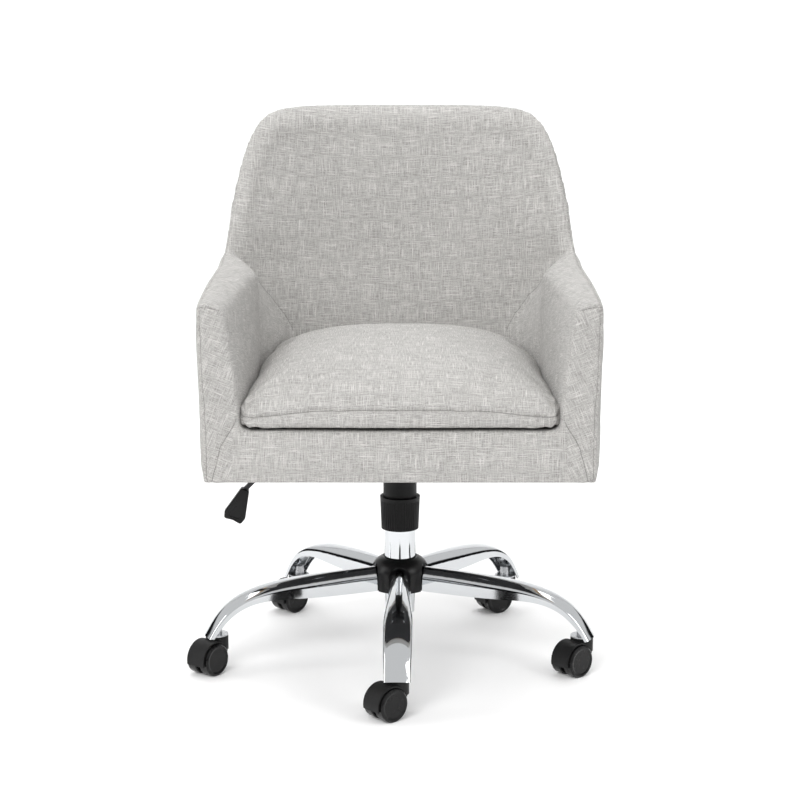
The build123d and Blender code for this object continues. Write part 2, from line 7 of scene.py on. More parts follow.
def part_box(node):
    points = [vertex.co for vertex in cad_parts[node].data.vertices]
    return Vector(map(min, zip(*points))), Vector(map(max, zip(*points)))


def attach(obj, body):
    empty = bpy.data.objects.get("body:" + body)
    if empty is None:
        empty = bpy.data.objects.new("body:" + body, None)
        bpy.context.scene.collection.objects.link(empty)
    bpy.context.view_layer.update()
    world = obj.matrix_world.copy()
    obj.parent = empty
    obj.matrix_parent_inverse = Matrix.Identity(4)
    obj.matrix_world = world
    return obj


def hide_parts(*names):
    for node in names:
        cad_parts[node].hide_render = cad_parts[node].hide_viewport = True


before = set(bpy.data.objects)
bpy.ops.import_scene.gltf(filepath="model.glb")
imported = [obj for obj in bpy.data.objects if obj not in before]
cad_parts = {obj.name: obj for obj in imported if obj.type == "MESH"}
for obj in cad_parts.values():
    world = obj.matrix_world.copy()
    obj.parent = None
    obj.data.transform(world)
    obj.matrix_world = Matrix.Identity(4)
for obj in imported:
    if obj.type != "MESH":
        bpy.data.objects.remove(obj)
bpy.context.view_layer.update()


# ---------------------------------------------------------------- camera and studio
# A pale sweep of floor and wall, soft boxes round and above the chair, and a long lens above the seat.
# The sweep ends in front of the chair, so that the chrome mirrors the dark of the room beyond it.
def clear_selection():
    """Nothing selected, nothing active."""
    if bpy.context.object and bpy.context.object.mode != "OBJECT":
        bpy.ops.object.mode_set(mode="OBJECT")
    bpy.ops.object.select_all(action="DESELECT")
    bpy.context.view_layer.objects.active = None


def select_only(*objects):
    """These objects selected, the first of them active."""
    clear_selection()
    for each in objects:
        each.select_set(True)
    bpy.context.view_layer.objects.active = objects[0]


clear_selection()
bpy.ops.object.camera_add(location=(0, -3.4, 1.115), rotation=(math.pi / 2 - 0.204, 0, 0))
camera = bpy.context.object
camera.name = "camera"
camera.data.lens = 100
camera.data.sensor_width = 36
bpy.context.scene.camera = camera
bpy.context.scene.view_settings.view_transform = "Standard"

clear_selection()
bpy.ops.mesh.primitive_plane_add(size=1, location=(0, 1.7, 0))
studio_floor = bpy.context.object
studio_floor.name = "studio_floor"
studio_floor.scale = (7, 6.4, 1)
bpy.ops.object.transform_apply(location=True, rotation=True, scale=True)
bpy.ops.object.mode_set(mode="EDIT")
bpy.ops.mesh.select_mode(type="EDGE")
bpy.ops.mesh.select_all(action="DESELECT")
bpy.ops.object.mode_set(mode="OBJECT")
for edge in studio_floor.data.edges:
    ends = [studio_floor.data.vertices[i].co for i in edge.vertices]
    edge.select = all(end.y > 4 for end in ends)
bpy.ops.object.mode_set(mode="EDIT")
bpy.ops.mesh.extrude_region_move(TRANSFORM_OT_translate={"value": (0, 0, 4)})
bpy.ops.mesh.select_all(action="DESELECT")
bpy.ops.object.mode_set(mode="OBJECT")
for edge in studio_floor.data.edges:
    ends = [studio_floor.data.vertices[i].co for i in edge.vertices]
    edge.select = all(end.y > 4 and end.z < 0.1 for end in ends)
bpy.ops.object.mode_set(mode="EDIT")
bpy.ops.mesh.bevel(offset=1.6, segments=16)
bpy.ops.object.mode_set(mode="OBJECT")
bpy.ops.object.shade_smooth()
floor_paint = bpy.data.materials.new("studio_floor_paint")
floor_paint.use_nodes = True
floor_shader = floor_paint.node_tree.nodes["Principled BSDF"]
floor_shader.inputs["Base Color"].default_value = (0.93, 0.93, 0.93, 1)
floor_shader.inputs["Roughness"].default_value = 0.6
floor_shader.inputs["Specular IOR Level"].default_value = 0.2
studio_floor.data.materials.append(floor_paint)


def soft_box(name, place, aim, size, watts):
    """A rectangular studio light that points at a place."""
    clear_selection()
    bpy.ops.object.light_add(type="AREA", location=place)
    box = bpy.context.object
    box.name = name
    box.data.shape = "RECTANGLE"
    box.data.size = size[0]
    box.data.size_y = size[1]
    box.data.energy = watts
    box.rotation_euler = (Vector(aim) - Vector(place)).to_track_quat("-Z", "Y").to_euler()
    return box


key_light = soft_box("key_light", (-1.0, -3.0, 2.3), (0, 0, 0.5), (2.4, 1.6), 92)
key_light.visible_glossy = False
soft_box("fill_light", (2.6, -1.9, 1.7), (0, 0, 0.4), (1.2, 2.0), 32)
soft_box("top_light", (0, 0.9, 3.2), (0, 0.3, 0.4), (3.2, 2.2), 40)
soft_box("left_light", (-2.9, -0.6, 1.2), (0, 0, 0.4), (1.0, 2.0), 20)
soft_box("wall_light", (0, 2.2, 3.6), (0, 4.9, 1.2), (4.0, 1.0), 60)

studio_air = bpy.data.worlds.new("studio_air")
bpy.context.scene.world = studio_air
studio_air.use_nodes = True
air = studio_air.node_tree
air_direction = air.nodes.new("ShaderNodeTexCoord")
air_height = air.nodes.new("ShaderNodeSeparateXYZ")
air_ramp = air.nodes.new("ShaderNodeValToRGB")
air.links.new(air_direction.outputs["Generated"], air_height.inputs["Vector"])
air.links.new(air_height.outputs["Z"], air_ramp.inputs["Fac"])
air.links.new(air_ramp.outputs["Color"], air.nodes["Background"].inputs["Color"])
air_ramp.color_ramp.elements[0].position = 0.22
air_ramp.color_ramp.elements[0].color = (0.012, 0.012, 0.013, 1)
air_ramp.color_ramp.elements[1].position = 0.29
air_ramp.color_ramp.elements[1].color = (1, 1, 1, 1)
air.nodes["Background"].inputs["Strength"].default_value = 0.8


# ---------------------------------------------------------------- grey tweed
# One cloth covers the whole chair: a plain weave of pale grey yarn with thicker, lighter slubs in both
# directions and a few darker flecks, with painted shade in the gaps between threads and along the seams. Its
# threads follow each panel's own UV map, which is in metres.
def add_node(tree, kind, label=None, **values):
    """A shader node, with its properties set by name."""
    node = tree.nodes.new("ShaderNode" + kind)
    if label:
        node.label = label
    for name, value in values.items():
        setattr(node, name, value)
    return node


def new_material(name):
    """A material with its tree and its main shader."""
    made = bpy.data.materials.new(name)
    made.use_nodes = True
    return made, made.node_tree, made.node_tree.nodes["Principled BSDF"]


def wire(tree, source, output, target, socket):
    """Joins one socket to another."""
    tree.links.new(source.outputs[output], target.inputs[socket])


def between(tree, source, output, low, high, out_low=0.0, out_high=1.0, soft=False):
    """Stretches a value from one range to another, held at the ends."""
    node = add_node(tree, "MapRange")
    node.interpolation_type = "SMOOTHSTEP" if soft else "LINEAR"
    wire(tree, source, output, node, "Value")
    node.inputs["From Min"].default_value = low
    node.inputs["From Max"].default_value = high
    node.inputs["To Min"].default_value = out_low
    node.inputs["To Max"].default_value = out_high
    return node


def combine(tree, kind, first, second):
    """A math node; each operand is a node, a (node, output) pair or a number."""
    node = add_node(tree, "Math", operation=kind)
    for socket, value in ((0, first), (1, second)):
        if isinstance(value, (int, float)):
            node.inputs[socket].default_value = value
        elif isinstance(value, tuple):
            tree.links.new(value[0].outputs[value[1]], node.inputs[socket])
        else:
            tree.links.new(value.outputs[0], node.inputs[socket])
    return node


def two_tones(tree, source, output, low, dark, high, light):
    """A colour that runs from a dark tone to a light one as a value rises."""
    ramp = add_node(tree, "ValToRGB")
    for stop, place, colour in zip(ramp.color_ramp.elements, (low, high), (dark, light)):
        stop.position = place
        stop.color = (*colour, 1)
    wire(tree, source, output, ramp, "Fac")
    return ramp


def slub_noise(tree, coordinates, output, stretch, detail, low, high):
    """Noise drawn out along one thread direction, cut to the share of threads that are thick."""
    spread = add_node(tree, "Mapping")
    spread.inputs["Scale"].default_value = stretch
    wire(tree, coordinates, output, spread, "Vector")
    noise = add_node(tree, "TexNoise")
    noise.inputs["Scale"].default_value = 1
    noise.inputs["Detail"].default_value = detail
    wire(tree, spread, "Vector", noise, "Vector")
    return between(tree, noise, "Fac", low, high)


def tint(tree, factor, base, colour, strength=1.0, blend="MIX"):
    """Mixes a colour over another by a factor node."""
    mix = add_node(tree, "Mix", data_type="RGBA", blend_type=blend)
    scaled = combine(tree, "MULTIPLY", factor, strength)
    tree.links.new(scaled.outputs[0], mix.inputs[0])
    tree.links.new(base, mix.inputs[6])
    mix.inputs[7].default_value = colour
    return mix.outputs[2]


def woven(name, follows_map=True):
    """The tweed, on a piece's own UV map, or on its place where it has none."""
    made, cloth, cloth_shader = new_material(name)
    if follows_map:
        weave = add_node(cloth, "UVMap", "threads in metres", uv_map="weave")
        threads = "UV"
    else:
        weave = add_node(cloth, "TexCoord")
        threads = "Object"
    thread_pitch = 0.0017
    weft_slubs = slub_noise(cloth, weave, threads, (30, 1200, 1), 1.0, 0.56, 0.66)
    warp_slubs = slub_noise(cloth, weave, threads, (1200, 30, 1), 1.0, 0.57, 0.67)
    weft_tone = slub_noise(cloth, weave, threads, (60, 1500, 1), 1.0, 0.3, 0.7)
    warp_tone = slub_noise(cloth, weave, threads, (1500, 60, 1), 1.0, 0.3, 0.7)
    dark_flecks = slub_noise(cloth, weave, threads, (300, 1300, 1), 1.0, 0.56, 0.70)
    wear = slub_noise(cloth, weave, threads, (9, 9, 1), 3.0, 0.3, 0.7)

    axes = add_node(cloth, "SeparateXYZ")
    wire(cloth, weave, threads, axes, "Vector")
    waves = []
    for axis in ("X", "Y"):
        turns = combine(cloth, "MULTIPLY", (axes, axis), 2 * math.pi / thread_pitch)
        waves.append(combine(cloth, "SINE", turns, 0))
    crossing = combine(cloth, "MULTIPLY", waves[0], waves[1])
    thread_height = combine(cloth, "MULTIPLY_ADD", crossing, 0.5)
    thread_height.inputs[2].default_value = 0.5

    slubs = combine(cloth, "MAXIMUM", weft_slubs, warp_slubs)
    tones = combine(cloth, "ADD", weft_tone, warp_tone)
    half_tones = combine(cloth, "MULTIPLY", tones, 0.5)
    yarn_greys = (0.15, (0.235, 0.227, 0.216), 0.85, (0.56, 0.55, 0.533))
    ground = two_tones(cloth, half_tones, "Value", *yarn_greys)
    paint = tint(cloth, slubs, ground.outputs["Color"], (0.76, 0.746, 0.722, 1), 0.70)
    paint = tint(cloth, dark_flecks, paint, (0.15, 0.145, 0.138, 1), 0.6)
    # Painted shade: a dark tone laid into the low gaps between the crossing threads, where shade would fall.
    thread_gap_shade = combine(cloth, "SUBTRACT", 1.0, thread_height)
    paint = tint(cloth, thread_gap_shade, paint, (0.20, 0.194, 0.185, 1), 0.30)
    paint = tint(cloth, wear, paint, (0.62, 0.61, 0.59, 1), 0.10)

    # Painted shade: a dark tone along each seam line, standing in for the shade in the sewn groove.
    seam_mark = add_node(cloth, "Attribute", "seam: side, distance, length", attribute_name="seam")
    seam_parts = add_node(cloth, "SeparateXYZ")
    wire(cloth, seam_mark, "Vector", seam_parts, "Vector")
    seam_side = combine(cloth, "ABSOLUTE", (seam_parts, "X"), 0)
    seam_line = between(cloth, seam_side, "Value", 0.0002, 0.0012, 1, 0, soft=True)
    seam_near = between(cloth, seam_parts, "Y", 0.003, 0.005, 1, 0)
    seam_groove_shade = combine(cloth, "MULTIPLY", seam_line, seam_near)
    paint = tint(cloth, seam_groove_shade, paint, (0.13, 0.125, 0.12, 1), 0.55)
    cloth.links.new(paint, cloth_shader.inputs["Base Color"])
    cloth_shader.inputs["Roughness"].default_value = 0.94
    cloth_shader.inputs["Specular IOR Level"].default_value = 0.18
    cloth_shader.inputs["Sheen Weight"].default_value = 0.12
    cloth_shader.inputs["Sheen Roughness"].default_value = 0.5

    relief = combine(cloth, "MULTIPLY_ADD", slubs, 0.9)
    cloth.links.new(thread_height.outputs[0], relief.inputs[2])
    relief = combine(cloth, "SUBTRACT", relief, (combine(cloth, "MULTIPLY", seam_groove_shade, 1.6), 0))
    cloth_bump = add_node(cloth, "Bump")
    cloth_bump.inputs["Strength"].default_value = 0.55
    cloth_bump.inputs["Distance"].default_value = 0.0006
    wire(cloth, relief, "Value", cloth_bump, "Height")
    wire(cloth, cloth_bump, "Normal", cloth_shader, "Normal")
    return made


tweed = woven("grey_tweed")
tweed_on_deck = woven("grey_tweed_deck", follows_map=False)


# ---------------------------------------------------------------- chromed star base and column
# Five pressed steel channels and the column's tube, polished and chrome plated. They are the CAD's own
# pieces; the plating mirrors the room, with the faint ripple and haze of polished sheet.
def paint_nodes(material, *names):
    """Gives CAD nodes a material in place of their plain one."""
    for name in names:
        node = bpy.data.objects[name]
        node.data.materials.clear()
        node.data.materials.append(material)


def object_noise(tree, scale, detail=3.0, stretch=(1, 1, 1)):
    """Noise on the piece's own coordinates."""
    place = add_node(tree, "TexCoord")
    spread = add_node(tree, "Mapping")
    spread.inputs["Scale"].default_value = stretch
    wire(tree, place, "Object", spread, "Vector")
    noise = add_node(tree, "TexNoise")
    noise.inputs["Scale"].default_value = scale
    noise.inputs["Detail"].default_value = detail
    wire(tree, spread, "Vector", noise, "Vector")
    return noise


def rough_by(tree, shader, noise, low, high):
    """Roughness that wanders with a noise."""
    wire(tree, between(tree, noise, "Fac", 0.3, 0.7, low, high), "Result", shader, "Roughness")


def bump_by(tree, shader, source, output, strength, distance):
    """A bump made from one value."""
    bump = add_node(tree, "Bump")
    bump.inputs["Strength"].default_value = strength
    bump.inputs["Distance"].default_value = distance
    wire(tree, source, output, bump, "Height")
    wire(tree, bump, "Normal", shader, "Normal")


sides = ("front", "left", "rear_left", "rear_right", "right")

chrome, plating, chrome_shader = new_material("chrome_plating")
chrome_shader.inputs["Base Color"].default_value = (0.63, 0.645, 0.66, 1)
chrome_shader.inputs["Metallic"].default_value = 1
rough_by(plating, chrome_shader, object_noise(plating, 14, 4), 0.055, 0.1)
bump_by(plating, chrome_shader, object_noise(plating, 9, 1), "Fac", 0.2, 0.0008)
paint_nodes(chrome, "column_tube", *["leg_" + side for side in sides])


# ---------------------------------------------------------------- steel parts of the lift and the frame
# The gas spring's cylinder and the seat plate are black enamelled steel; the piston rod is ground bright,
# and the bolts, clip, sockets and caster stems are zinc plated.
enamel, enamel_tree, enamel_shader = new_material("black_enamel")
enamel_shader.inputs["Base Color"].default_value = (0.018, 0.018, 0.019, 1)
rough_by(enamel_tree, enamel_shader, object_noise(enamel_tree, 60, 4), 0.32, 0.5)
bump_by(enamel_tree, enamel_shader, object_noise(enamel_tree, 520, 2), "Fac", 0.25, 0.0003)
paint_nodes(enamel, "pressure_cylinder", "spindle_socket", "seat_plate", "lever_rod", "hub_ring")

zinc, zinc_tree, zinc_shader = new_material("zinc_plating")
zinc_shader.inputs["Metallic"].default_value = 1
spangle = object_noise(zinc_tree, 260, 3)
spangle_tone = two_tones(zinc_tree, spangle, "Fac", 0.3, (0.42, 0.43, 0.45), 0.7, (0.62, 0.63, 0.64))
wire(zinc_tree, spangle_tone, "Color", zinc_shader, "Base Color")
rough_by(zinc_tree, zinc_shader, spangle, 0.22, 0.42)
bump_by(zinc_tree, zinc_shader, object_noise(zinc_tree, 900, 2, (1, 1, 0.2)), "Fac", 0.15, 0.0002)
paint_nodes(
    zinc, "seat_bolts", "tee_nuts", "lever_pin", "retaining_clip", "stem_sockets", "valve_pin",
    "thrust_bearing", *["caster_stem_" + side for side in sides], *["caster_axle_" + side for side in sides],
)

ground_steel, rod_tree, rod_shader = new_material("ground_steel")
rod_shader.inputs["Base Color"].default_value = (0.70, 0.70, 0.71, 1)
rod_shader.inputs["Metallic"].default_value = 1
grinding = object_noise(rod_tree, 240, 2, (1, 1, 12))
rough_by(rod_tree, rod_shader, grinding, 0.12, 0.26)
bump_by(rod_tree, rod_shader, grinding, "Fac", 0.1, 0.0001)
paint_nodes(ground_steel, "piston_rod")


# ---------------------------------------------------------------- black plastic parts
# Injection-moulded pieces: the hub's shell in a satin finish, the ribbed collar, the dust tube, the
# lever's knob and the casters' hoods with a fine spark texture, and nylon wheels with polished disks.
def moulded(name, shade, low, high, grain, relief):
    """A moulded black plastic with its own grain."""
    made, tree, shader = new_material(name)
    mottle = object_noise(tree, 35, 3)
    dark = (shade * 0.85, shade * 0.85, shade * 0.88)
    light = (shade * 1.15, shade * 1.15, shade * 1.18)
    tone = two_tones(tree, mottle, "Fac", 0.3, dark, 0.7, light)
    wire(tree, tone, "Color", shader, "Base Color")
    rough_by(tree, shader, mottle, low, high)
    shader.inputs["Specular IOR Level"].default_value = 0.28
    bump_by(tree, shader, object_noise(tree, grain, 2), "Fac", 0.35, relief)
    return made


satin_plastic = moulded("satin_black_plastic", 0.0045, 0.26, 0.38, 900, 0.00012)
textured_plastic = moulded("textured_black_plastic", 0.005, 0.45, 0.6, 1400, 0.00025)
wheel_nylon = moulded("wheel_nylon", 0.0045, 0.2, 0.34, 600, 0.00012)
bush_plastic = moulded("bush_plastic", 0.55, 0.4, 0.55, 700, 0.0001)
paint_nodes(satin_plastic, "hub_cover", "lever_knob")
paint_nodes(textured_plastic, "cover_collar", "cover_tube", *["caster_hood_" + side for side in sides])
paint_nodes(
    wheel_nylon, *["wheel_outer_" + side for side in sides], *["wheel_inner_" + side for side in sides]
)
paint_nodes(bush_plastic, "guide_bush")


# ---------------------------------------------------------------- seat board, frames and under-seat cloth
# The seat board and the frames inside the padding are plywood. A sheet of black spun cloth is stapled
# under the seat, and the deck under the cushion is covered in the same tweed.
plywood, ply_tree, ply_shader = new_material("plywood")
ply_grain = object_noise(ply_tree, 60, 4, (1, 12, 12))
ply_tone = two_tones(ply_tree, ply_grain, "Fac", 0.3, (0.33, 0.20, 0.10), 0.7, (0.55, 0.38, 0.22))
wire(ply_tree, ply_tone, "Color", ply_shader, "Base Color")
rough_by(ply_tree, ply_shader, ply_grain, 0.6, 0.8)
bump_by(ply_tree, ply_shader, ply_grain, "Fac", 0.3, 0.0004)
paint_nodes(plywood, "seat_board", "arm_frame_right", "arm_frame_left", "back_frame")

spun_cloth, spun_tree, spun_shader = new_material("black_spun_cloth")
fibres = object_noise(spun_tree, 700, 5, (1, 0.5, 1))
fibre_greys = (0.35, (0.008, 0.008, 0.009), 0.65, (0.035, 0.035, 0.037))
fibre_tone = two_tones(spun_tree, fibres, "Fac", *fibre_greys)
wire(spun_tree, fibre_tone, "Color", spun_shader, "Base Color")
spun_shader.inputs["Roughness"].default_value = 0.92
bump_by(spun_tree, spun_shader, fibres, "Fac", 0.5, 0.0004)
paint_nodes(spun_cloth, "dust_cover")
paint_nodes(tweed_on_deck, "seat_deck")


# ---------------------------------------------------------------- padded tub
# Arms, back and front rail in one: foam over plywood panels, pulled tight in a sewn cover of grey tweed
# that is stapled under the seat. The cover is cut in panels, with a seam just inside each outer edge.
front_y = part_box("arm_right")[0][1]
foot_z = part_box("arm_right")[0][2]
rail_rear_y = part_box("front_rail")[1][1]
rail_top_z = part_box("front_rail")[1][2]
back_rear_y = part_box("back")[1][1]
tub_top_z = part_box("back")[1][2]
arm_outer_x = 0.2955       # at the top of an arm's front
turn_y = 0.0               # where the straight arms start to turn into the back
corner_power = 2.8         # how square the outside is in plan, at its rear corners
inner_power = 3.0
arm_rear_z = 0.629         # top of the arm where it meets the back
arm_fall = 0.015           # how much lower an arm's top is at its front
roll = 0.011               # drop of the padded edge on its outer side
arm_drop = 0.016           # drop on the inner side, along an arm
back_drop = 0.040          # drop on the inner side, along the back
crest_heights = [          # degrees round from the arm towards the middle of the back, height of the edge
    (0, arm_rear_z), (10, 0.640), (15, 0.662), (20, 0.703), (27, 0.757),
    (34, 0.803), (41, 0.832), (49, 0.846), (62, tub_top_z - 0.001), (90, tub_top_z),
]
outer_half_width = 0.285   # where the straight arms start to turn
inner_half_width = 0.222
thread_turn = 22           # degrees that the threads are turned on the arms
rear_reach = [
    (foot_z, 0.262), (0.50, 0.283), (0.64, 0.301), (0.76, 0.314), (tub_top_z, back_rear_y - 0.002),
]
inner_reach = [(foot_z, 0.196), (0.50, 0.204), (0.64, 0.228), (0.76, 0.252), (tub_top_z, 0.276)]


def ease_through(points, at):
    """A smooth curve through rising points (x, value), read at one x."""
    if at <= points[0][0]:
        return points[0][1]
    if at >= points[-1][0]:
        return points[-1][1]
    slopes = [(b[1] - a[1]) / (b[0] - a[0]) for a, b in zip(points, points[1:])]
    tangents = [slopes[0]]
    for before, after in zip(slopes, slopes[1:]):
        tangents.append(0.0 if before * after <= 0 else 2 * before * after / (before + after))
    tangents.append(slopes[-1])
    here = max(k for k in range(len(points) - 1) if points[k][0] <= at)
    (x0, y0), (x1, y1) = points[here], points[here + 1]
    span = x1 - x0
    t = (at - x0) / span
    return (
        (2 * t**3 - 3 * t**2 + 1) * y0
        + (t**3 - 2 * t**2 + t) * span * tangents[here]
        + (3 * t**2 - 2 * t**3) * y1
        + (t**3 - t**2) * span * tangents[here + 1]
    )


def crest_height(run):
    """Height of the padded edge: run is 0 at mid back, 1 where an arm starts and 2 at its front."""
    if run >= 1:
        return arm_rear_z - arm_fall * (run - 1) ** 1.1
    return ease_through(crest_heights, 90 * (1 - run))


def wall_point(side, run, height, inside):
    """A point on the tub's outer or inner skin."""
    rise = (height - foot_z) / (0.62 - foot_z)
    if run >= 1:
        forward = run - 1
        y = turn_y + (front_y - turn_y) * forward
        if inside:
            x = inner_half_width + (0.006 + 0.028 * max(rise, 0)) * forward
            x -= 0.006 * math.sin(math.pi * min(max(rise, 0), 1)) * min(forward * 3, 1)
        else:
            flare = min(forward * 1.3, 1) ** 0.8
            x = outer_half_width + (arm_outer_x - outer_half_width) * max(rise, 0) * flare
            x -= 0.002 * forward
        return Vector((side * x, y, height))
    turn = (1 - run) * math.pi / 2
    power = 2 / (inner_power if inside else corner_power)
    half_width = inner_half_width if inside else outer_half_width
    reach = ease_through(inner_reach if inside else rear_reach, height)
    point = Vector((
        side * half_width * math.cos(turn) ** power,
        turn_y + (reach - turn_y) * math.sin(turn) ** power,
        height,
    ))
    if inside:
        bow = min(max((height - 0.36) / 0.10, 0), 1)
        point = point.lerp(padded_face(side, run, height, reach), bow * bow * (3 - 2 * bow))
    return point


def crest_run(height):
    """Where round the back the padded edge reaches a height."""
    low, high = 0.30, 1.0
    for _ in range(24):
        middle = (low + high) / 2
        if crest_height(middle) > height:
            low = middle
        else:
            high = middle
    return high


def crease(height, reach):
    """Where an arm's inner face meets the back, in plan: nearer the middle of the seat lower down."""
    climb = min(max((height - 0.50) / 0.12, 0), 1)
    x = 0.177 + 0.083 * climb
    return Vector((x, back_bow(x, height, reach), height)), 0.62 + 0.30 * climb


def back_bow(x, height, reach):
    """The back's padded face in plan: one shallow bow from edge to edge."""
    edge = wall_point(1, min(crest_run(height), 0.83), height, False)
    return reach - (reach - edge.y + 0.004) * (abs(x) / (edge.x - 0.020)) ** 2.2


def padded_face(side, run, height, reach):
    """A point on the padded face of the back, or on the arm's inner face in front of the crease."""
    if height > arm_rear_z + 0.002:
        edge_run = crest_run(height)
        x = (wall_point(1, edge_run, height, False).x - 0.020) * min(run / edge_run, 1.1)
        return Vector((side * x, back_bow(x, height, reach), height))
    corner, corner_run = crease(height, reach)
    if run <= corner_run:
        x = corner.x * run / corner_run
        return Vector((side * x, back_bow(x, height, reach), height))
    point = corner.lerp(Vector((inner_half_width, turn_y, height)), (run - corner_run) / (1 - corner_run))
    return Vector((side * point.x, point.y, height))


def inner_drop(run):
    """How far below the padded edge its inner rounding ends; wide on the back, tight on the arms."""
    share = min(max((run - 0.62) / 0.40, 0), 1)
    share = share * share * (3 - 2 * share)
    return back_drop + (arm_drop - back_drop) * share


def roll_point(side, run, share):
    """A point on the rounded padded edge, from the outer skin (0) to the inner one (1)."""
    top, drop, ridge = crest_height(run), inner_drop(run), 0.22
    point = wall_point(side, run, top - roll, False).lerp(wall_point(side, run, top - drop, True), share)
    if share < ridge:
        point.z = top - roll * (1 - math.sqrt(1 - ((ridge - share) / ridge) ** 2))
    else:
        fall = (share - ridge) / (1 - ridge)
        point.z = top - drop * (1 - math.sqrt(max(1 - fall**2.1, 0)))
    return point


def tub_section(side, run):
    """One closed cross-section of the tub's wall, from the outer foot over the edge to the inner foot."""
    rise, fall = crest_height(run) - roll - foot_z, crest_height(run) - inner_drop(run) - foot_z
    outer = [wall_point(side, run, foot_z + rise * k / 12, False) for k in range(13)]
    shares = (0.02, 0.06, 0.12, 0.22, 0.36, 0.5, 0.64, 0.77, 0.87, 0.94, 0.98)
    edge = [roll_point(side, run, share) for share in shares]
    inner = [wall_point(side, run, foot_z + fall * k / 12, True) for k in range(12, -1, -1)]
    return outer + edge + inner


def grid_of(name, rows):
    """A primitive grid laid on rows of points, closed where its long edges meet."""
    clear_selection()
    across, along = len(rows[0]), len(rows)
    bpy.ops.mesh.primitive_grid_add(x_subdivisions=across - 1, y_subdivisions=along - 1, size=1)
    sheet = bpy.context.object
    sheet.name = name
    for index, vertex in enumerate(sheet.data.vertices):
        vertex.co = rows[index // across][index % across]
    return sheet


def close_up(piece):
    """Merges doubles, fills open edge loops and turns the faces outwards."""
    select_only(piece)
    bpy.ops.object.mode_set(mode="EDIT")
    bpy.ops.mesh.select_mode(type="VERT")
    bpy.ops.mesh.select_all(action="SELECT")
    bpy.ops.mesh.remove_doubles(threshold=0.00001)
    bpy.ops.mesh.select_all(action="DESELECT")
    bpy.ops.mesh.select_non_manifold(extend=False)
    bpy.ops.mesh.edge_face_add()
    bpy.ops.mesh.select_all(action="SELECT")
    bpy.ops.mesh.normals_make_consistent(inside=False)
    bpy.ops.object.mode_set(mode="OBJECT")


def modify(piece, kind, **settings):
    """Adds one modifier, sets it and applies it."""
    select_only(piece)
    modifier = piece.modifiers.new(kind.lower(), kind)
    for key, value in settings.items():
        setattr(modifier, key, value)
    bpy.ops.object.modifier_apply(modifier=modifier.name)


def swell(piece, cap, held, pressure=4.0, mesh_size=0.012):
    """Blows a padded piece up as cloth on a coarser copy, moving no point further than the cap.

    held(co) is 1 where the cover is fixed, and nothing moves there.
    """
    select_only(piece)
    bpy.ops.object.duplicate()
    bag = bpy.context.object
    modify(bag, "REMESH", mode="VOXEL", voxel_size=mesh_size)
    modify(bag, "SMOOTH", factor=0.5, iterations=2)
    before = [vertex.co.copy() for vertex in bag.data.vertices]
    group = bag.vertex_groups.new(name="held")
    for vertex in bag.data.vertices:
        group.add([vertex.index], held(vertex.co), "REPLACE")
    select_only(bag)
    air_filled = bag.modifiers.new("swell", "CLOTH")
    air_filled.settings.quality = 3
    air_filled.settings.mass = 0.3
    air_filled.settings.tension_stiffness = 18
    air_filled.settings.compression_stiffness = 18
    air_filled.settings.shear_stiffness = 8
    air_filled.settings.bending_stiffness = 0.8
    air_filled.settings.use_pressure = True
    air_filled.settings.uniform_pressure_force = pressure
    air_filled.settings.effector_weights.gravity = 0
    air_filled.settings.vertex_group_mass = "held"
    air_filled.collision_settings.use_collision = False
    air_filled.point_cache.frame_start = 1
    air_filled.point_cache.frame_end = 20
    for moment in range(1, 21):
        bpy.context.scene.frame_set(moment)
    bpy.ops.object.modifier_apply(modifier="swell")
    bpy.context.scene.frame_set(1)
    moved = kdtree.KDTree(len(before))
    for index, start in enumerate(before):
        moved.insert(start, index)
    moved.balance()
    for vertex in piece.data.vertices:
        shift, total = Vector(), 0.0
        for start, index, distance in moved.find_n(vertex.co, 5):
            weight = 1 / (distance + 0.003) ** 2
            shift += (bag.data.vertices[index].co - start) * weight
            total += weight
        shift /= total
        if shift.length > cap:
            shift *= cap / shift.length
        vertex.co += shift * (1 - held(vertex.co))
    bpy.data.objects.remove(bag)


def seam_samples(lines, spacing=0.0015):
    """Points along each seam line, with the line's direction and the length so far."""
    samples = []
    for line in lines:
        length = 0.0
        for start, end in zip(line, line[1:]):
            span = (end - start).length
            if span < 1e-6:
                continue
            direction = (end - start) / span
            for k in range(max(1, round(span / spacing))):
                share = k / max(1, round(span / spacing))
                samples.append((start.lerp(end, share), direction, length + span * share))
            length += span
    return samples


def sew(piece, lines, depth=0.0016, width=0.003, puff=0.0006, pucker=0.0005, reach=0.03):
    """Draws the cloth in along each seam line, puckers it there, and marks the seam where the material paints
    shade.
    """
    samples = seam_samples(lines)
    tree = kdtree.KDTree(len(samples))
    for index, (place, _, _) in enumerate(samples):
        tree.insert(place, index)
    tree.balance()
    mark = piece.data.attributes.new("seam", "FLOAT_VECTOR", "POINT")
    normals = [vertex.normal.copy() for vertex in piece.data.vertices]
    places = [vertex.co.copy() for vertex in piece.data.vertices]
    marks = []
    for number, (co, normal) in enumerate(zip(places, normals)):
        place, index, distance = tree.find(co)
        if distance > reach:
            marks.extend((reach, reach, 0))
            continue
        _, direction, length = samples[index]
        offset = co - place
        offset -= normal * offset.dot(normal)
        along = offset.dot(direction)
        across = direction.cross(normal)
        side = offset.dot(across.normalized()) if across.length > 0.2 else offset.length
        away = math.sqrt(side * side + max(abs(along) - 0.001, 0) ** 2)
        marks.extend((side, away, length + along))
        ripple = math.sin(length * 390 + 2.2 * math.sin(length * 61)) * math.sin(length * 127 + 1.3)
        lift = -depth * math.exp(-((away / width) ** 2)) + puff * math.exp(-(((away - 0.008) / 0.005) ** 2))
        lift += pucker * ripple * math.exp(-((away / 0.011) ** 2))
        places[number] = co + normal * lift
    mark.data.foreach_set("vector", marks)
    move_vertices(piece, places)


def move_vertices(piece, places):
    """Puts every vertex at its new place in one go."""
    piece.data.vertices.foreach_set("co", [value for place in places for value in place])
    piece.data.update()


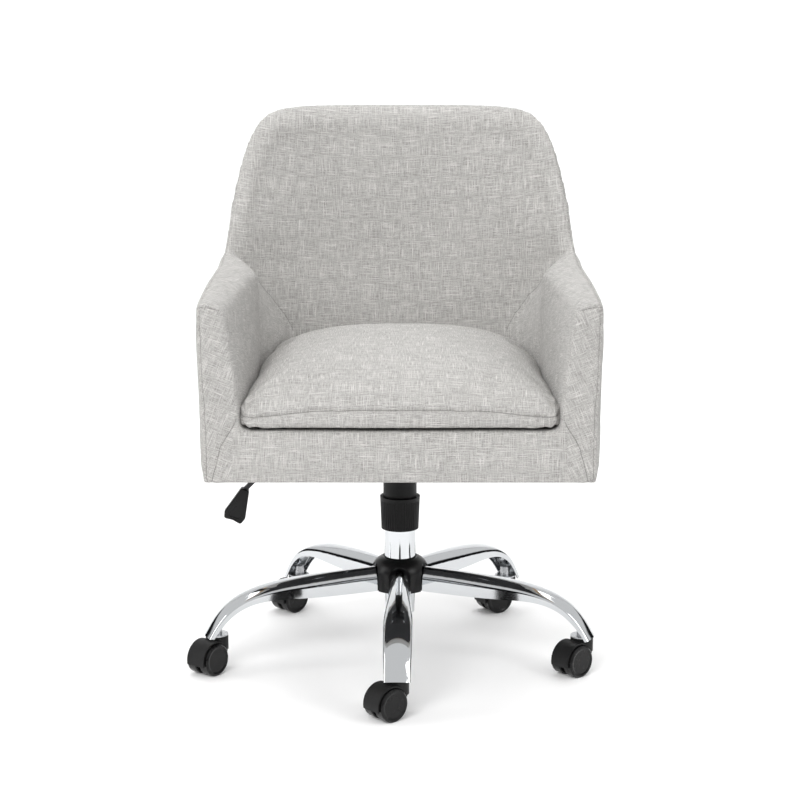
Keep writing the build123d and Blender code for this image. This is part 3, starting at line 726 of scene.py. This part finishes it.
arm_steps, back_steps = 26, 46
runs = [(-1, 2 - k / arm_steps) for k in range(arm_steps)]
runs += [(-1, 1 - k / back_steps) for k in range(back_steps)]
runs += [(1, k / back_steps) for k in range(back_steps)]
runs += [(1, 1 + k / arm_steps) for k in range(arm_steps + 1)]
wall_rows = []
for side, run in runs:
    section = tub_section(side, run)
    wall_rows.append(section + [section[0].copy()])
tub = grid_of("tub_upholstery", wall_rows)
close_up(tub)

clear_selection()
bpy.ops.mesh.primitive_cube_add(size=1, location=(0, (front_y + rail_rear_y) / 2, (foot_z + rail_top_z) / 2))
rail = bpy.context.object
rail.scale = (0.48, rail_rear_y - front_y, rail_top_z - foot_z)
bpy.ops.object.transform_apply(location=True, rotation=True, scale=True)
select_only(tub, rail)
bpy.ops.object.join()
modify(tub, "REMESH", mode="VOXEL", voxel_size=0.006, use_smooth_shade=True)
modify(tub, "SMOOTH", factor=0.5, iterations=5)
for vertex in tub.data.vertices:
    if vertex.co.z < foot_z + 0.004:
        vertex.co.z = foot_z + 0.0005


def tub_held(co):
    """The tub's foot is stapled down, so nothing moves there."""
    return 1.0 if co.z < foot_z + 0.012 else 0.0


swell(tub, 0.0045, tub_held)
modify(tub, "SUBSURF", levels=1, render_levels=1)

mitre = [(0.234, 0.440), (0.250, 0.416), (0.259, 0.400), (0.265, 0.377), (0.271, foot_z)]
seam_edge_share = 0.09
outside_seam_run = 0.867
tub_seams = []
edge_seam = [roll_point(-1, 2 - k / 40, seam_edge_share) for k in range(41)]
edge_seam += [roll_point(-1, 1 - k / 60, seam_edge_share) for k in range(61)]
edge_seam += [roll_point(1, k / 60, seam_edge_share) for k in range(61)]
edge_seam += [roll_point(1, 1 + k / 40, seam_edge_share) for k in range(41)]
for side, end in ((-1, 0), (1, -1)):
    down = []
    for k in range(31):
        height = edge_seam[end].z - 0.003 - (edge_seam[end].z - 0.003 - foot_z) * k / 30
        down.append(wall_point(side, 2, height, False) + Vector((-side * 0.0045, -0.001, 0)))
    if end == 0:
        edge_seam = down[::-1] + edge_seam
    else:
        edge_seam = edge_seam + down
tub_seams.append(edge_seam)
for side in (-1, 1):
    tub_seams.append([Vector((side * x, front_y, z)) for x, z in mitre])
    dart_z = crest_height(2) - 0.006
    dart_at = enumerate((0.291, 0.276, 0.258))
    tub_seams.append([Vector((side * x, front_y, dart_z - 0.002 * k)) for k, x in dart_at])
    across_arm = [roll_point(side, 0.955, 0.09 + 0.88 * k / 12) for k in range(13)]
    inner_fall = []
    for k in range(21):
        height = 0.607 - 0.11 * k / 20
        corner, _ = crease(height, ease_through(inner_reach, height))
        inner_fall.append(Vector((side * corner.x, corner.y - 0.002, height)))
    tub_seams.append(across_arm + inner_fall)
    rise = crest_height(outside_seam_run) - roll - foot_z
    tub_seams.append([wall_point(side, outside_seam_run, foot_z + rise * k / 20, False) for k in range(21)])
sew(tub, tub_seams)


def lay_weave(piece, place_thread):
    """Lays the threads on a piece: a UV map in metres, from each corner's place and its face."""
    layer = piece.data.uv_layers.new(name="weave")
    for face in piece.data.polygons:
        for corner in face.loop_indices:
            co = piece.data.vertices[piece.data.loops[corner].vertex_index].co
            layer.data[corner].uv = place_thread(co, face.normal, face.center)


plan_path = [wall_point(1, k / 60, 0.5, False).lerp(wall_point(1, k / 60, 0.5, True), 0.5) for k in range(61)]
plan_lengths = [0.0]
for start, end in zip(plan_path, plan_path[1:]):
    plan_lengths.append(plan_lengths[-1] + (end - start).length)
plan_tree = kdtree.KDTree(len(plan_path))
for index, place in enumerate(plan_path):
    plan_tree.insert((place.x, place.y, 0), index)
plan_tree.balance()


def plan_place(co):
    """A point's place in the plan of the tub, with the back's lean taken out."""
    lean = ease_through(rear_reach, 0.5) / ease_through(rear_reach, co.z)
    return Vector((abs(co.x), turn_y + (co.y - turn_y) * lean, 0))


def round_the_back(co):
    """Distance along the wall from the middle of the back to a point."""
    if co.y < turn_y:
        return plan_lengths[-1] + turn_y - co.y
    flat = plan_place(co)
    _, index, _ = plan_tree.find(flat)
    before, after = max(index - 1, 0), min(index + 1, 60)
    tangent = (plan_path[after] - plan_path[before]).normalized()
    return plan_lengths[index] + (flat - Vector((plan_path[index].x, plan_path[index].y, 0))).dot(tangent)


def turned(u, v, degrees):
    """Threads turned by an angle on their panel."""
    angle = math.radians(degrees)
    return u * math.cos(angle) - v * math.sin(angle), u * math.sin(angle) + v * math.cos(angle)


def tub_threads(co, normal, centre):
    """Threads on each panel of the tub."""
    side = 1 if centre.x > 0 else -1
    if normal.y < -0.75 and centre.y < front_y + 0.012:
        if abs(centre.x) > 0.24 or centre.z > 0.45:
            return turned(co.x, co.z, -side * thread_turn)
        return co.x, co.z
    if normal.z < -0.8:
        return co.x, co.y
    along = side * round_the_back(co)
    if centre.y < rail_rear_y + 0.02 and abs(centre.x) < 0.225:
        return co.x, co.z - co.y
    outward = Vector((centre.x, max(centre.y, 0), 0))
    if normal.dot(outward) > 0 and normal.z < 0.55:
        return along, co.z
    if centre.y > turn_y + 0.02 and normal.y < -0.3:
        return co.x, co.z - 0.35 * co.x * co.x
    depth = (wall_point(side, min(round_run(centre), 2), co.z, False) - co).length
    return turned(along, co.z - depth, -side * thread_turn)


def round_run(co):
    """The run, from 0 at the middle of the back to 2 at an arm's front, nearest to a point."""
    if co.y < turn_y:
        return 1 + (turn_y - co.y) / (turn_y - front_y)
    _, index, _ = plan_tree.find(plan_place(co))
    return index / 60


lay_weave(tub, tub_threads)
tub.data.materials.append(tweed)
select_only(tub)
bpy.ops.object.shade_smooth()
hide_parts("arm_right", "arm_left", "back", "front_rail")
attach(tub, "seat")


# ---------------------------------------------------------------- seat cushion
# A loose D-shaped cushion, soft foam in a sewn cover: a bottom panel, a narrow border and a crowned top
# panel, with a plain seam all round between border and top. It is squeezed in between the arms.
cushion_low, cushion_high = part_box("seat_cushion")
cushion_foot_z = cushion_low[2]
cushion_front_y = cushion_low[1] + 0.001
cushion_crown_z = cushion_high[2] + 0.012
squeeze = 0.0012            # how far the cushion stays inside the arms
cushion_points = 168
squeeze_z = 0.465            # height at which its plan meets the arms and the back


def d_outline(share, inset=0.0):
    """A point on the cushion's D-shaped plan, round from the middle of its front."""
    side = -1 if share < 0.5 else 1
    part = share * 2 if share < 0.5 else (1 - share) * 2
    front_half = 0.2325 - inset
    corner = 0.026
    if part < 0.26:
        across = part / 0.26
        bulge = 0.005 * (1 - across**2)
        x = (front_half - corner) * across
        return Vector((side * x, cushion_front_y + inset + 0.005 - bulge, 0))
    if part < 0.30:
        turn = (part - 0.26) / 0.04 * math.pi / 2
        return Vector((
            side * (front_half - corner + corner * math.sin(turn)),
            cushion_front_y + inset + 0.005 + corner * (1 - math.cos(turn)),
            0,
        ))
    if part < 0.60:
        along = (part - 0.30) / 0.30
        y = (cushion_front_y + inset + 0.005 + corner) * (1 - along)
        run = 1 + min(-y / -front_y, 1)
        limit = abs(wall_point(1, run, squeeze_z, True).x) - squeeze - inset
        return Vector((side * min(limit, front_half), y, 0))
    turn = (part - 0.60) / 0.40 * math.pi / 2
    power = 2 / inner_power
    x = (abs(wall_point(1, 1, squeeze_z, True).x) - squeeze - inset) * math.cos(turn) ** power
    y = (ease_through(inner_reach, squeeze_z) - 0.004 - inset) * math.sin(turn) ** power
    return Vector((side * x, y, 0))


def seam_height(place):
    """Height of the cushion's seam, which dips towards the two front corners."""
    corner_away = (Vector((abs(place.x), place.y)) - Vector((0.225, cushion_front_y))).length
    return 0.4585 - 0.0115 * math.exp(-((corner_away / 0.075) ** 2))


cushion_rows = []
bottom_rings = [(0.85, 0), (0.5, 0), (0.2, 0), (0.07, 0.0003), (0.02, 0.0012)]
centre_y = -0.05
for shrink, lift in bottom_rings:
    ring = []
    for k in range(cushion_points):
        place = d_outline(k / cushion_points)
        place = place.lerp(Vector((0, centre_y, 0)), shrink)
        ring.append(Vector((place.x, place.y, cushion_foot_z + lift)))
    cushion_rows.append(ring)
for share in (0.18, 0.5, 0.82, 1.0):
    ring = []
    for k in range(cushion_points):
        place = d_outline(k / cushion_points)
        top = seam_height(place)
        ring.append(Vector((place.x, place.y, cushion_foot_z + (top - cushion_foot_z) * share)))
    cushion_rows.append(ring)
for shrink in (0.012, 0.03, 0.055, 0.09, 0.14, 0.2, 0.28, 0.38, 0.5, 0.64, 0.8, 0.93):
    ring = []
    for k in range(cushion_points):
        rim = d_outline(k / cushion_points)
        place = rim.lerp(Vector((0, centre_y, 0)), shrink)
        inward = min(shrink * 0.23 / 0.034, 1)
        start = seam_height(rim)
        shoulder = 0.021 * math.sqrt(1 - (1 - inward) ** 2)
        crown = (cushion_crown_z - start - 0.021) * (1 - (1 - shrink) ** 2)
        ring.append(Vector((place.x, place.y, start + shoulder + crown)))
    cushion_rows.append(ring)
cushion_rows = [ring + [ring[0].copy()] for ring in cushion_rows]
cushion = grid_of("cushion_upholstery", cushion_rows)
close_up(cushion)
modify(cushion, "REMESH", mode="VOXEL", voxel_size=0.005, use_smooth_shade=True)
modify(cushion, "SMOOTH", factor=0.5, iterations=3)


def cushion_held(co):
    """Its weight keeps the cushion's bottom flat."""
    return 1.0 if co.z < cushion_foot_z + 0.006 else 0.0


swell(cushion, 0.006, cushion_held)
modify(cushion, "SUBSURF", levels=1, render_levels=1)
for vertex in cushion.data.vertices:
    co = vertex.co
    side = 1 if co.x > 0 else -1
    if front_y < co.y < turn_y:
        limit = abs(wall_point(side, min(round_run(co), 2), max(co.z, 0.43), True).x) - 0.0006
        co.x = max(-limit, min(limit, co.x))
    co.y = max(co.y, cushion_low[1] - 0.006)
    co.z = max(co.z, cushion_foot_z + 0.0003)

border_seam = []
for k in range(241):
    place = d_outline((k % 240) / 240)
    border_seam.append(Vector((place.x, place.y, seam_height(place))))
corner_seams = []
for side in (-1, 1):
    corner_at = d_outline(0.142 if side < 0 else 0.858)
    corner_seams.append([
        Vector((corner_at.x, corner_at.y, seam_height(corner_at))),
        Vector((corner_at.x, corner_at.y, cushion_foot_z + 0.002)),
    ])
sew(cushion, [border_seam] + corner_seams, depth=0.0020, width=0.0032, puff=0.0010, pucker=0.0009)
fold_places = []
for co, normal in [(vertex.co.copy(), vertex.normal.copy()) for vertex in cushion.data.vertices]:
    for side in (-1, 1):
        corner_at = Vector((side * 0.222, cushion_front_y + 0.012, 0.45))
        away = (co - corner_at).length
        if away < 0.09:
            turn = math.atan2(co.z - corner_at.z, side * (co.x - corner_at.x))
            fold = math.sin(turn * 9) * math.exp(-(((away - 0.022) / 0.022) ** 2))
            co = co + normal * 0.0010 * fold
    fold_places.append(co)
move_vertices(cushion, fold_places)


def cushion_threads(co, normal, centre):
    """Threads on the cushion's top, border and bottom."""
    if normal.z > 0.35 or normal.z < -0.5:
        return co.x, co.y + co.z * 0.8
    if abs(normal.y) > abs(normal.x):
        return co.x, co.z
    return co.y, co.z


lay_weave(cushion, cushion_threads)
cushion.data.materials.append(tweed)
select_only(cushion)
bpy.ops.object.shade_smooth()
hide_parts("seat_cushion")
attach(cushion, "seat")


clear_selection()
